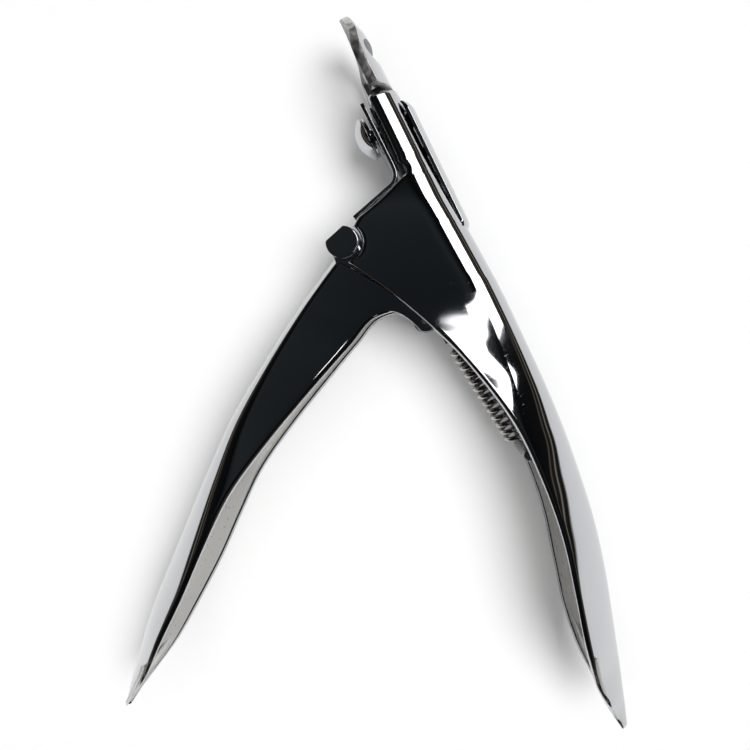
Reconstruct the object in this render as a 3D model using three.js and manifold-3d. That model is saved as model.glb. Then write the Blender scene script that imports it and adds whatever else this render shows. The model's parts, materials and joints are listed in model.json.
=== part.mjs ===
// Nail tip cutter: a squeeze-handled guillotine of chromed sheet steel.
// Millimetres. The tool lies on its side: +Y runs along the nose towards the cutting end,
// +X towards the back of the nose, +Z up. Pieces are drawn about the lever's pivot, with the
// mid-plane of the tool at z = 0, and the whole is set down on z = 0 at the end.

import * as THREE from 'three';
import { mergeVertices } from 'three/addons/utils/BufferGeometryUtils.js';
import Module from 'manifold-3d';

const wasm = await Module();
wasm.setup();

// ---- driving dimensions ------------------------------------------------------------------

const GAP = 0.3;              // clearance between pieces that sit on each other
const NOSE_LENGTH = 20.6;     // pivot to the open end of the nose
const NOSE_BACK = 20.6;       // pivot to the back of the nose
const NOSE_DEPTH = 5.7;       // back of the nose to its open front
const NOSE_HALF = 5.3;        // half the width of the nose, across the tool
const NOSE_ROUND = 4.0;       // rounding of its back
const BODY_HALF = 6.0;        // half the width of the body at the pivot
const BODY_ROUND = 4.2;       // rounding of the body's and the handles' backs
const GRIP_HALF = 8.8;        // half the width of the handles where they are widest
const FRAME_REACH = 100.2;    // pivot to the tip of the fixed handle, along the nose
const LEVER_REACH = 91.8;     // pivot to the tip of the lever
const SHEET = 0.8;            // sheet that the frame and the lever are pressed from

const PIVOT_R = 3.0;          // pivot pin
const PIVOT_FLAT = 1.7;       // pivot pin's flat, from its centre
const PIVOT_PROUD = 0.2;      // how far its ends stand out of the body
const SHELF_TILT = 0.275;     // slope of the shelf between the pivot and the nose, radians

const DRIVE_X = 6.6;          // drive pin, from the pivot, with the handles open
const DRIVE_Y = -18.2;
const DRIVE_R = 1.1;          // drive pin
const ROLLER_R = 2.1;         // roller on the drive pin
const ROLLER_HALF = 1.8;      // half its length
const SQUEEZE = Math.PI / 6;  // how far the lever turns
const EAR_R = 2.0;            // rounded end of the lever's ears
const EAR_SET = 0.06;         // how far the ears lie under the lever's skin
const EAR_WALL = 0.9;         // metal left round the pivot pin in the ears
const EAR_SIDE = 0.4;         // clearance between the ears and the body's walls
const WEB_END = -3.4;         // where the lever's back stops, so that the ears stand free

const COVER = 0.7;            // sheet of the front cover
const COVER_STAND = 1.0;      // its distance from the nose's open front
const COVER_DROP = 0.5;       // open end of the nose down to its upper end
const SHELF_STAND = 0.5;      // its distance from the shelf
const SLIDE_T = 0.9;          // thickness of the slide
const SLIDE_HALF = 3.3;       // half its width
const SLIDE_STAND = 0.6;      // its distance from the front cover
const YOKE_HALF = 1.2;        // half the thickness of the yoke
const YOKE_BAR = 1.9;         // width of the yoke's bars
const YOKE_ABOVE = 0.35;      // room above the roller in the yoke
const YOKE_BELOW = 0.8;       // room below it
const EYE_FRONT = 1.6;        // metal in front of the yoke's eye for the spring
const EYE_METAL = 1.2;        // metal below and behind it
const BLADE_T = 1.0;          // thickness of the blade
const BLADE_HALF = 5.6;       // half the width of the cutting end
const BLADE_TAIL = 7.2;       // screw's slot down to the blade's lower end
const BLADE_RIVETS = [1.8, 4.8];  // its rivets, from its lower end
const SLOT_SPARE = 0.2;       // room beyond the travel at each end of the screw's slot
const GUIDE_T = 1.2;          // thickness of the guide plate
const GUIDE_HALF = 6.8;       // half the width of the guide plate
const GUIDE_LENGTH = 17.1;    // how far the guide plate stands out of the nose
const GUIDE_ARCH_R = 10.4;    // radius of its arched back
const GUIDE_CROWN = 20.1;     // pivot to the crown of the arch
const GUIDE_DROP = 1.9;       // how far the arch comes down towards its tip
const TONGUE_HALF = 3.4;      // half the width of guide and blade inside the nose
const TONGUE_FOOT = 1.4;      // pivot to the lower end of the guide's tongue
const SLOT_HALF = 5.6;        // nail slot in the guide plate: half its length
const SLOT_R = 2.2;           // half its height
const SLOT_RISE = 8.0;        // nose end to the middle of the slot

const SCREW_Y = 16.0;         // dome-headed screw through the nose
const SCREW_R = 1.5;
const DOME_R = 3.9;
const DOME_H = 2.1;
const WASHER_T = 0.6;
const BACK_T = 1.2;           // back plate
const BACK_DROP = 0.35;       // how much thinner it is at its lower end
const BACK_HALF = 3.4;
const BACK_TOP = 18.4;
const BACK_LENGTH = 25.0;
const RIVET_R = 0.9;
const RIVETS_Y = [9.6, 4.2, -4.2];  // rivets through the back plate

const WIRE_R = 0.45;          // return spring
const COIL_R = 2.2;           // its coils, to the middle of the wire
const TURNS = 13;
const SPRING_X = 10.0;        // middle of the first coil
const SPRING_TOP = 24.9;      // pivot down to the first coil, along the nose
const SPRING_LENGTH = 19.6;
const SPRING_SLANT = 2.1;     // how far it runs sideways over that length
const SPRING_LEAD = 0.5;      // end of the wire beyond the coils
const LEAD_SHARE = 0.03;      // part of the wire that each end takes
const HOOK = 2.6;             // first coil to the eye, last coil to the anchor pin
const ANCHOR_R = 1.1;         // pin that holds the lower end of the spring
const ANCHOR_HALF = 5.4;      // half its length

const FRAME_STEPS = 38;       // fineness of the pressed skins
const LEVER_STEPS = 26;
const TAIL_STEPS = 4;         // stations at a handle's end that aren't hollow
const CORNER_STEPS = 3;
const FAR = 20;               // further than any piece reaches across the tool
const SUNK = 0.05;            // how far rivet ends lie under the surface

// ---- places worked out from them ---------------------------------------------------------

const bodyInner = BODY_HALF - SHEET;
const earOuter = bodyInner - EAR_SIDE;
const noseFront = NOSE_BACK - NOSE_DEPTH;
const coverBack = noseFront - COVER_STAND;
const coverTop = NOSE_LENGTH - COVER_DROP;
const slideFront = coverBack + SLIDE_STAND;
const bladeFront = slideFront + SLIDE_T + GAP;
const guideFront = bladeFront + BLADE_T + GAP + 0.1;
const guideTop = NOSE_LENGTH + GUIDE_LENGTH;
const guideRoot = NOSE_LENGTH + 2 * GAP;
const archX = GUIDE_CROWN - GUIDE_ARCH_R;
const archFadeFrom = guideTop - 5.2;
const slotY = NOSE_LENGTH + SLOT_RISE;
const driveDistance = Math.hypot(DRIVE_X, DRIVE_Y);
const driveAngle = Math.atan2(DRIVE_Y, DRIVE_X);
const travel = driveDistance * Math.sin(driveAngle + SQUEEZE) - DRIVE_Y;
const driveClosedX = driveDistance * Math.cos(driveAngle + SQUEEZE);

const chrome = (name, colour = '#c9cdd1', roughness = 0.08) =>
  new THREE.MeshStandardMaterial({ name, color: colour, roughness, metalness: 1 });

// ---- helpers -----------------------------------------------------------------------------

// A closed mesh with its shared corners merged.
function weld(geometry) {
  const g = geometry.clone();
  g.deleteAttribute('normal');
  g.deleteAttribute('uv');
  return mergeVertices(g, 1e-5);
}

// A closed mesh as a solid that can be joined and cut.
function solid(geometry) {
  const m = weld(geometry);
  return new wasm.Manifold(new wasm.Mesh({
    numProp: 3,
    vertProperties: new Float32Array(m.attributes.position.array),
    triVerts: new Uint32Array(m.index.array),
  }));
}

// A solid back to a geometry.
function geometryOf(manifold) {
  const mesh = manifold.getMesh();
  const g = new THREE.BufferGeometry();
  g.setAttribute('position', new THREE.BufferAttribute(mesh.vertProperties, 3));
  g.setIndex(new THREE.BufferAttribute(mesh.triVerts, 1));
  g.computeVertexNormals();
  return g;
}

// A skin over closed rings that all have the same number of points, with flat ends.
function loft(rings) {
  const n = rings[0].length;
  const positions = rings.flat().flatMap((p) => [p.x, p.y, p.z]);
  const index = [];
  for (let i = 0; i + 1 < rings.length; i++) {
    for (let j = 0; j < n; j++) {
      const a = i * n + j;
      const b = i * n + (j + 1) % n;
      index.push(a, b, a + n, b, b + n, a + n);
    }
  }
  const flat = rings[0].map((_, j) => ringPoint(j, n));
  const last = (rings.length - 1) * n;
  for (const [a, b, c] of THREE.ShapeUtils.triangulateShape(flat, [])) {
    index.push(a, c, b, last + a, last + b, last + c);
  }
  const g = new THREE.BufferGeometry();
  g.setAttribute('position', new THREE.Float32BufferAttribute(positions, 3));
  g.setIndex(index);
  return solidSide(g);
}

// Where a ring's point falls on a circle: enough to fill an end that has no dents.
function ringPoint(j, n) {
  const a = 2 * Math.PI * j / n;
  return new THREE.Vector2(Math.cos(a), Math.sin(a));
}

// The same geometry with its faces turned outwards.
function solidSide(g) {
  if (solid(g).volume() > 0) {
    return g;
  }
  const idx = g.index.array;
  for (let i = 0; i < idx.length; i += 3) {
    [idx[i], idx[i + 1]] = [idx[i + 1], idx[i]];
  }
  return g;
}

// An outline in x and y, as thick as from z0 to z1.
function slab(shape, z0, z1, curveSegments = 10) {
  const g = new THREE.ExtrudeGeometry(shape, { depth: z1 - z0, bevelEnabled: false, curveSegments });
  return g.translate(0, 0, z0);
}

// An outline in y and z, as thick as from x0 to x1.
function plate(shape, x0, x1, curveSegments = 10) {
  const g = new THREE.ExtrudeGeometry(shape, { depth: x1 - x0, bevelEnabled: false, curveSegments });
  g.rotateY(Math.PI / 2);
  g.rotateX(Math.PI / 2);
  return g.translate(x0, 0, 0);
}

// A round bar along x (or z) between two places.
function barX(r, x0, x1, y, z = 0, sides = 18) {
  const g = new THREE.CylinderGeometry(r, r, x1 - x0, sides);
  return g.rotateZ(Math.PI / 2).translate((x0 + x1) / 2, y, z);
}

function barZ(r, z0, z1, x, y, sides = 18) {
  const g = new THREE.CylinderGeometry(r, r, z1 - z0, sides);
  return g.rotateX(Math.PI / 2).translate(x, y, (z0 + z1) / 2);
}

function box(x0, x1, y0, y1, z0, z1) {
  const g = new THREE.BoxGeometry(x1 - x0, y1 - y0, z1 - z0);
  return g.translate((x0 + x1) / 2, (y0 + y1) / 2, (z0 + z1) / 2);
}

function polygon(points) {
  return new THREE.Shape(points.map(([x, y]) => new THREE.Vector2(x, y)));
}

// A slot outline with round ends, from y0 to y1 along its middle.
function slotShape(y0, y1, r) {
  const s = new THREE.Shape();
  s.moveTo(y0, -r);
  s.lineTo(y1, -r);
  s.absarc(y1, 0, r, -Math.PI / 2, Math.PI / 2, false);
  s.lineTo(y0, r);
  s.absarc(y0, 0, r, Math.PI / 2, 1.5 * Math.PI, false);
  return s;
}

// ---- pressed channels --------------------------------------------------------------------

// One cross-section of a channel: the back wall's line, the open rim's line, half the width
// and the radius between back and sides. Stations run down the channel.
const station = (back, rim, half, round) => ({ back, rim, half, round });

// Smooth in-between stations.
function smooth(stations, steps) {
  const curve = (pick) => {
    const points = stations.map((s) => new THREE.Vector3(...pick(s)));
    return new THREE.CatmullRomCurve3(points, false, 'catmullrom', 0.5);
  };
  const backs = curve((s) => [s.back[0], s.back[1], 0]);
  const rims = curve((s) => [s.rim[0], s.rim[1], 0]);
  const sizes = curve((s) => [s.half, s.round, 0]);
  const out = [];
  for (let i = 0; i <= steps; i++) {
    const t = i / steps;
    const size = sizes.getPoint(t);
    out.push(station(backs.getPoint(t).toArray(), rims.getPoint(t).toArray(), size.x, size.y));
  }
  return out;
}

// A channel's outer skin filled in (inset 0), or the hollow that its sheet leaves.
function channelSolid(stations, inset, open) {
  const rings = stations.map(({ back, rim, half, round }) => {
    const b = new THREE.Vector2(back[0], back[1]);
    const r = new THREE.Vector2(rim[0], rim[1]);
    const across = b.clone().sub(r);
    const depth = across.length();
    across.normalize();
    const h = half - inset;
    const far = depth - inset;
    const corner = Math.max(0.3, Math.min(round - inset, h * 0.9, far * 0.8));
    const place = (u, v) => new THREE.Vector3(r.x + across.x * u, r.y + across.y * u, v);
    const ring = [place(-open, -h)];
    for (const [cu, cv, start] of [[far - corner, corner - h, -90], [far - corner, h - corner, 0]]) {
      for (let k = 0; k <= CORNER_STEPS; k++) {
        const a = THREE.MathUtils.degToRad(start + k * 90 / CORNER_STEPS);
        ring.push(place(cu + corner * Math.cos(a), cv + corner * Math.sin(a)));
      }
    }
    ring.push(place(-open, h));
    return ring;
  });
  return solid(loft(rings));
}

// ---- frame with the fixed handle ---------------------------------------------------------

const reach = FRAME_REACH / 100.2;
const frameStations = smooth([
  station([NOSE_BACK, NOSE_LENGTH], [noseFront, NOSE_LENGTH], NOSE_HALF, NOSE_ROUND),
  station([NOSE_BACK, NOSE_LENGTH - 6.6], [noseFront, NOSE_LENGTH - 6.1], NOSE_HALF, NOSE_ROUND),
  station([NOSE_BACK, 8], [noseFront, 9.5], NOSE_HALF, NOSE_ROUND),
  station([NOSE_BACK, 3], [noseFront - 0.1, 6.2], NOSE_HALF + 0.3, NOSE_ROUND),
  station([NOSE_BACK, -1], [noseFront - 2.9, 4.5], BODY_HALF, NOSE_ROUND),
  station([NOSE_BACK + 0.1, -5], [noseFront - 6.3, 3.6], BODY_HALF, NOSE_ROUND),
  station([NOSE_BACK + 0.35, -9], [3.4, 2.3], BODY_HALF, BODY_ROUND),
  station([NOSE_BACK + 0.7, -13], [-0.2, 0.9], BODY_HALF, BODY_ROUND),
  station([NOSE_BACK + 0.85, -17.5], [-0.7, -3.5], BODY_HALF, BODY_ROUND),
  station([NOSE_BACK + 0.85, -22], [3.5, -11.2], BODY_HALF, BODY_ROUND),
  station([NOSE_BACK + 0.7, -29], [7.4, -20.2], BODY_HALF, BODY_ROUND),
  station([NOSE_BACK + 0.5, -36], [10.2, -29], GRIP_HALF * 0.71, BODY_ROUND),
  station([NOSE_BACK, -45 * reach], [12.1, -40 * reach], GRIP_HALF * 0.82, BODY_ROUND),
  station([NOSE_BACK - 1.0, -54 * reach], [12.1, -50 * reach], GRIP_HALF * 0.92, BODY_ROUND),
  station([NOSE_BACK - 2.6, -64 * reach], [10.9, -60.5 * reach], GRIP_HALF * 0.98, BODY_ROUND),
  station([NOSE_BACK - 5.0, -73.5 * reach], [8.4, -70.6 * reach], GRIP_HALF, BODY_ROUND),
  station([NOSE_BACK - 7.7, -82 * reach], [6.1, -79.2 * reach], GRIP_HALF * 0.92, BODY_ROUND),
  station([NOSE_BACK - 10, -89 * reach], [4.9, -86.6 * reach], GRIP_HALF * 0.71, 3.2),
  station([NOSE_BACK - 12.2, -95.4 * reach], [5.0, -93.8 * reach], GRIP_HALF * 0.4, 1.9),
  station([NOSE_BACK - 13.9, -FRAME_REACH], [5.5, 0.6 - FRAME_REACH], 1.1, 0.7),
], FRAME_STEPS);

function frameHandle() {
  const { back, rim, half, round } = frameStations[0];
  const beyond = station([back[0], back[1] + 1], [rim[0], rim[1] + 1], half, round);
  const outer = channelSolid(frameStations, 0, 0);
  const hollow = channelSolid([beyond, ...frameStations.slice(0, -TAIL_STEPS)], SHEET, 2);
  const notch = solid(barZ(PIVOT_R + GAP, -GRIP_HALF, GRIP_HALF, 0, 0, 40));
  let shell = outer.subtract(hollow).subtract(notch);
  shell = shell.subtract(solid(barX(SCREW_R + GAP, guideFront, FAR * 2, SCREW_Y)));
  for (const y of RIVETS_Y) {
    shell = shell.subtract(solid(barX(RIVET_R + GAP, guideFront, FAR * 2, y)));
  }
  return geometryOf(shell);
}

// ---- lever handle ------------------------------------------------------------------------

const swing = LEVER_REACH / 91.8;
const leverPoint = (x, y) => [x * swing, y * swing];
const leverStations = smooth([
  station([-2.8, -1.0], [3.2, -8.5], earOuter, 1.6),
  station([-7.4, -3.4], [-0.6, -13.9], earOuter, 1.8),
  station([-13.4, -6.5], [-6.6, -16.2], earOuter + 0.1, 2.6),
  station([-21.8, -11.6], [-15, -19.8], GRIP_HALF * 0.69, 3.4),
  station(leverPoint(-31.2, -17.6), leverPoint(-25.6, -24.6), GRIP_HALF * 0.83, BODY_ROUND),
  station(leverPoint(-39.7, -24.2), leverPoint(-35, -29.6), GRIP_HALF * 0.93, BODY_ROUND),
  station(leverPoint(-47, -30.3), leverPoint(-42.7, -35.5), GRIP_HALF * 0.99, BODY_ROUND),
  station(leverPoint(-53.9, -36.2), leverPoint(-49.8, -41.4), GRIP_HALF, BODY_ROUND),
  station(leverPoint(-60.6, -42.2), leverPoint(-57, -46.8), GRIP_HALF * 0.92, 3.6),
  station(leverPoint(-66.2, -48.1), leverPoint(-63.2, -51.3), GRIP_HALF * 0.68, 2.6),
  station(leverPoint(-70.2, -52.5), leverPoint(-68.6, -54.2), GRIP_HALF * 0.36, 1.3),
  station(leverPoint(-72.9, -55.8), leverPoint(-72.5, -56.2), 1.0, 0.5),
], LEVER_STEPS);

// Outline of one of the two ears that carry the pivot and drive pins.
function earShape() {
  const s = new THREE.Shape();
  const flat = Math.PI / 2 + SHELF_TILT;
  const half = Math.acos((PIVOT_FLAT + EAR_WALL) / (PIVOT_R + EAR_WALL));
  s.moveTo(-6.9, -4.4);
  s.lineTo(-3.6, -1.6);
  s.absarc(0, 0, PIVOT_R + EAR_WALL, flat + half + 0.12, flat + half, true);
  s.absarc(0, 0, PIVOT_R + EAR_WALL, flat - half, -0.25, true);
  s.absarc(DRIVE_X, DRIVE_Y, EAR_R, 0.1, -2.35, true);
  s.quadraticCurveTo(3.6, -13.2, -0.6, -13.9);
  s.lineTo(-5.2, -13.2);
  return s;
}

function leverHandle() {
  const outer = channelSolid(leverStations, 0, 0);
  const hollow = channelSolid(leverStations.slice(0, -TAIL_STEPS), SHEET, 2);
  const front = solid(box(WEB_END, FAR, -FAR, FAR, SHEET - earOuter, earOuter - SHEET));
  let body = outer.subtract(hollow).subtract(front);
  const ear = earShape();
  for (const z of [EAR_SET - earOuter, earOuter - EAR_SET - SHEET]) {
    body = body.add(solid(slab(ear, z, z + SHEET, 8)));
  }
  const pinHole = slab(pinShape(PIVOT_R + GAP / 3, PIVOT_FLAT + GAP / 3), -FAR, FAR);
  body = body.subtract(solid(pinHole));
  body = body.subtract(solid(barZ(DRIVE_R + GAP, -FAR, FAR, DRIVE_X, DRIVE_Y)));
  return geometryOf(body);
}

// ---- pivot and drive ---------------------------------------------------------------------

// A round section with one flat, parallel to the shelf.
function pinShape(r, flat) {
  const turn = Math.PI / 2 + SHELF_TILT;
  const half = Math.acos(flat / r);
  const s = new THREE.Shape();
  s.absarc(0, 0, r, turn + half, turn - half + 2 * Math.PI, false);
  return s;
}

function pivotPin() {
  const end = BODY_HALF + PIVOT_PROUD;
  return slab(pinShape(PIVOT_R - GAP / 2, PIVOT_FLAT - GAP / 2), -end, end, 24);
}

function driveRoller() {
  const ring = new THREE.Shape();
  ring.absarc(0, 0, ROLLER_R, 0, 2 * Math.PI, false);
  const bore = new THREE.Path();
  bore.absarc(0, 0, DRIVE_R + GAP, 0, 2 * Math.PI, true);
  ring.holes.push(bore);
  return slab(ring, -ROLLER_HALF, ROLLER_HALF, 16).translate(DRIVE_X, DRIVE_Y, 0);
}

// ---- cutting parts -----------------------------------------------------------------------

// Part of a barrel that lies along the nose, between two radii, thinning towards its end.
function archShell(outerR, innerR, y0, y1, fade) {
  const steps = 8;
  const outer = [];
  const inner = [];
  for (let i = 0; i <= steps; i++) {
    const y = y0 + (y1 - y0) * i / steps;
    const drop = fade * Math.pow(Math.max(0, (y - archFadeFrom) / (guideTop - archFadeFrom)), 2);
    outer.push(new THREE.Vector2(outerR - drop, y));
    inner.unshift(new THREE.Vector2(innerR - drop, y));
  }
  const barrel = weld(new THREE.LatheGeometry([...outer, ...inner, outer[0]], 64));
  const near = box(archX + 3, archX + FAR, y0 - 1, y1 + 1, -FAR, FAR);
  return solid(solidSide(barrel).translate(archX, 0, 0)).intersect(solid(near));
}

// The nail guide: an arched plate with an oblong slot, on a flat tongue.
function guidePlate() {
  const wide = GUIDE_HALF;
  const shoulder = slotY - 1.6;
  const outline = new THREE.Shape();
  outline.moveTo(guideRoot, -wide);
  outline.lineTo(shoulder, -wide);
  outline.bezierCurveTo(shoulder + 4.5, -wide, guideTop - 1.7, -wide * 0.56, guideTop, 0);
  outline.bezierCurveTo(guideTop - 1.7, wide * 0.56, shoulder + 4.5, wide, shoulder, wide);
  outline.lineTo(guideRoot, wide);
  const cut = new THREE.Shape();
  const reachZ = SLOT_HALF - SLOT_R;
  cut.absarc(slotY, reachZ, SLOT_R, 0, Math.PI, false);
  cut.absarc(slotY, -reachZ, SLOT_R, Math.PI, 2 * Math.PI, false);
  let g = archShell(GUIDE_ARCH_R, GUIDE_ARCH_R - GUIDE_T, guideRoot - 1, guideTop + 1, GUIDE_DROP);
  g = g.intersect(solid(plate(outline, archX, archX + FAR, 8)));
  g = g.subtract(solid(plate(cut, archX, archX + FAR, 8)));
  const back = guideFront + GUIDE_T;
  g = g.add(solid(box(guideFront, back, TONGUE_FOOT, guideRoot + 1, -TONGUE_HALF, TONGUE_HALF)));
  g = g.add(solid(box(guideFront, back + 1, guideRoot + 0.1, guideRoot + 0.9, -TONGUE_HALF, TONGUE_HALF)));
  g = g.subtract(solid(barX(SCREW_R + GAP, guideFront - 1, FAR, SCREW_Y)));
  for (const y of RIVETS_Y) {
    g = g.subtract(solid(barX(RIVET_R + GAP, guideFront - 1, FAR, y)));
  }
  return geometryOf(g);
}

const bladeTop = slotY - SLOT_R - 0.6;
const bladeRoot = guideRoot + 1 + GAP;
const screwSlot = [SCREW_Y - travel - SLOT_SPARE, SCREW_Y + SLOT_SPARE];
const bladeFoot = screwSlot[0] - SCREW_R - BLADE_TAIL;
const bladeRivets = BLADE_RIVETS.map((y) => bladeFoot + y);
const screwSlotCut = () => {
  return solid(plate(slotShape(...screwSlot, SCREW_R + GAP), slideFront - 1, bladeFront + BLADE_T + 0.2));
};

// The blade: an arched cutting end that runs under the guide, on a flat tongue.
function cutterBlade() {
  const wide = BLADE_HALF;
  const corner = bladeTop - 1.4;
  const edge = new THREE.Shape();
  edge.moveTo(bladeRoot, -wide);
  edge.lineTo(corner, -wide);
  edge.bezierCurveTo(bladeTop - 0.2, -wide, bladeTop, -wide / 2, bladeTop, 0);
  edge.bezierCurveTo(bladeTop, wide / 2, bladeTop - 0.2, wide, corner, wide);
  edge.lineTo(bladeRoot, wide);
  const outerR = GUIDE_ARCH_R - GUIDE_T - GAP;
  const back = bladeFront + BLADE_T;
  let g = archShell(outerR, outerR - BLADE_T, bladeRoot, bladeTop, 0);
  g = g.intersect(solid(plate(edge, archX, archX + FAR, 6)));
  g = g.add(solid(box(bladeFront, back, guideRoot, bladeRoot + 1.2, -5, 5)));
  g = g.add(solid(box(bladeFront, back, bladeFoot, guideRoot + 0.5, -TONGUE_HALF, TONGUE_HALF)));
  g = g.subtract(screwSlotCut());
  for (const y of bladeRivets) {
    g = g.subtract(solid(barX(RIVET_R + GAP, bladeFront - 1, back + 1, y)));
  }
  return geometryOf(g);
}

const slideTop = NOSE_LENGTH - 1.2;
const prongY = DRIVE_Y + ROLLER_R + YOKE_ABOVE;
const slideFoot = prongY + YOKE_BAR + 0.2;
const yokeRivetY = slideFoot + 2.0;
const footX = slideFront - GAP;

function bladeSlide() {
  let g = solid(box(slideFront, slideFront + SLIDE_T, slideFoot, slideTop, -SLIDE_HALF, SLIDE_HALF));
  g = g.subtract(screwSlotCut());
  for (const y of [...bladeRivets, yokeRivetY]) {
    g = g.subtract(solid(barX(RIVET_R + GAP, slideFront - 1, slideFront + 2, y)));
  }
  return geometryOf(g);
}

const yokeBackX = driveClosedX + ROLLER_R + 0.5;
const springDirection = new THREE.Vector2(SPRING_SLANT, -SPRING_LENGTH).normalize();
const springStart = new THREE.Vector2(SPRING_X, -SPRING_TOP);
const eye = springStart.clone().addScaledVector(springDirection, -HOOK);
const anchor = springStart.clone().addScaledVector(springDirection, SPRING_LENGTH + HOOK);

// The yoke that the roller pushes, with the eye that the spring pulls.
function slideYoke() {
  const low = DRIVE_Y - ROLLER_R - YOKE_BELOW;
  const left = DRIVE_X - 0.6;
  const back = yokeBackX + YOKE_BAR;
  const top = slideFoot - 0.4;
  const c = polygon([
    [left, prongY], [yokeBackX, prongY], [yokeBackX, low], [eye.x - EYE_FRONT, low],
    [eye.x - EYE_FRONT, eye.y - EYE_METAL], [back - EYE_METAL, eye.y - EYE_METAL],
    [back, eye.y], [back, top], [left, top],
  ]);
  let g = solid(slab(c, -YOKE_HALF, YOKE_HALF));
  g = g.add(solid(box(footX - 0.9, footX, prongY + 0.4, yokeRivetY + 1.9, -SLIDE_HALF, SLIDE_HALF)));
  g = g.subtract(solid(barZ(WIRE_R + GAP, -FAR, FAR, eye.x, eye.y, 16)));
  g = g.subtract(solid(barX(RIVET_R + GAP, footX - 2, footX + 0.1, yokeRivetY)));
  return geometryOf(g);
}

// ---- covers and fasteners on the nose ----------------------------------------------------

// The front cover: one bent sheet over the open front of the nose and along the shelf.
function frontCover() {
  const bend = new THREE.Vector2(noseFront - 2.9, 4.35);
  const end = new THREE.Vector2(3.9, 2.15);
  const along = end.clone().sub(bend).normalize();
  const up = new THREE.Vector2(along.y, -along.x);
  const inner = (p) => p.clone().addScaledVector(up, SHELF_STAND);
  const outer = (p) => p.clone().addScaledVector(up, SHELF_STAND + COVER);
  const front = coverBack - COVER;
  const s = new THREE.Shape();
  s.moveTo(coverBack, coverTop);
  s.lineTo(coverBack, 8.0);
  s.quadraticCurveTo(coverBack - 0.1, 5.7, inner(bend).x, inner(bend).y);
  s.lineTo(inner(end).x, inner(end).y);
  s.lineTo(outer(end).x, outer(end).y);
  s.lineTo(outer(bend).x - 0.4, outer(bend).y - 0.1);
  s.quadraticCurveTo(front - 0.1, 6.3, front, 8.4);
  s.lineTo(front, coverTop);
  let g = solid(slab(s, 0.4 - NOSE_HALF, NOSE_HALF - 0.4, 8));
  g = g.subtract(solid(barX(SCREW_R + GAP, front - 2, coverBack + 1, SCREW_Y)));
  return geometryOf(g);
}

const domeBase = coverBack - COVER - GAP - WASHER_T - GAP;
const backInner = NOSE_BACK + GAP;

function domeScrew() {
  const ball = (DOME_R * DOME_R + DOME_H * DOME_H) / (2 * DOME_H);
  const widest = Math.asin(DOME_R / ball);
  const profile = [new THREE.Vector2(0, -DOME_H)];
  for (let i = 1; i <= 8; i++) {
    const a = i / 8 * widest;
    profile.push(new THREE.Vector2(ball * Math.sin(a), ball - DOME_H - ball * Math.cos(a)));
  }
  const shank = backInner + BACK_T - 0.5 - domeBase;
  profile.push(new THREE.Vector2(SCREW_R, 0), new THREE.Vector2(SCREW_R, shank - 0.4));
  profile.push(new THREE.Vector2(SCREW_R - 0.4, shank), new THREE.Vector2(0, shank));
  const g = new THREE.LatheGeometry(profile, 32);
  return weld(g).rotateZ(-Math.PI / 2).translate(domeBase, SCREW_Y, 0);
}

function domeWasher() {
  const ring = new THREE.Shape();
  ring.absarc(0, 0, DOME_R - GAP, 0, 2 * Math.PI, false);
  const bore = new THREE.Path();
  bore.absarc(0, 0, SCREW_R + GAP, 0, 2 * Math.PI, true);
  ring.holes.push(bore);
  return plate(ring, domeBase + GAP, domeBase + GAP + WASHER_T, 16).translate(0, SCREW_Y, 0);
}

// The back plate lies along the back of the nose and the body, thinner at its lower end.
function backPlate() {
  const bottom = BACK_TOP - BACK_LENGTH;
  const s = polygon([
    [backInner, BACK_TOP], [backInner + 0.1, bottom],
    [backInner + BACK_T - BACK_DROP, bottom + 1.2], [backInner + BACK_T, BACK_TOP - 1.0],
  ]);
  let g = solid(slab(s, -BACK_HALF, BACK_HALF));
  g = g.subtract(solid(barX(SCREW_R + GAP, NOSE_BACK, NOSE_BACK + 5, SCREW_Y)));
  for (const y of RIVETS_Y) {
    g = g.subtract(solid(barX(RIVET_R + GAP, NOSE_BACK, NOSE_BACK + 5, y)));
  }
  return geometryOf(g);
}

// ---- return spring -----------------------------------------------------------------------

// A helix along -y whose ends come in to its middle and run on straight for a little.
class CoilCurve extends THREE.Curve {
  getPoint(t) {
    const turn = THREE.MathUtils.clamp((t - LEAD_SHARE) / (1 - 2 * LEAD_SHARE), 0, 1);
    const beyond = Math.max(0, LEAD_SHARE - t, t - 1 + LEAD_SHARE) / LEAD_SHARE;
    const r = COIL_R * (1 - beyond);
    const a = turn * TURNS * 2 * Math.PI;
    const y = -turn * SPRING_LENGTH + Math.sign(0.5 - t) * beyond * SPRING_LEAD;
    return new THREE.Vector3(r * Math.cos(a), y, r * Math.sin(a));
  }
}

function returnSpring() {
  const section = new THREE.Shape();
  section.absarc(0, 0, WIRE_R, 0, 2 * Math.PI, false);
  const g = new THREE.ExtrudeGeometry(section, {
    steps: TURNS * 10 + 10, extrudePath: new CoilCurve(), bevelEnabled: false, curveSegments: 3,
  });
  const turn = Math.atan2(springDirection.x, -springDirection.y);
  return g.rotateZ(turn).translate(springStart.x, springStart.y, 0);
}

// ---- the assembly ------------------------------------------------------------------------

const group = new THREE.Group();

function add(name, geometry, material) {
  const mesh = new THREE.Mesh(geometry, material);
  mesh.name = name;
  group.add(mesh);
}

const bright = chrome('bright chrome');
const cutSteel = chrome('sheared steel edge', '#8f9396', 0.3);
const wire = chrome('plated spring wire', '#a9adb0', 0.25);
const plain = chrome('plain steel', '#7f8386', 0.35);

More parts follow.
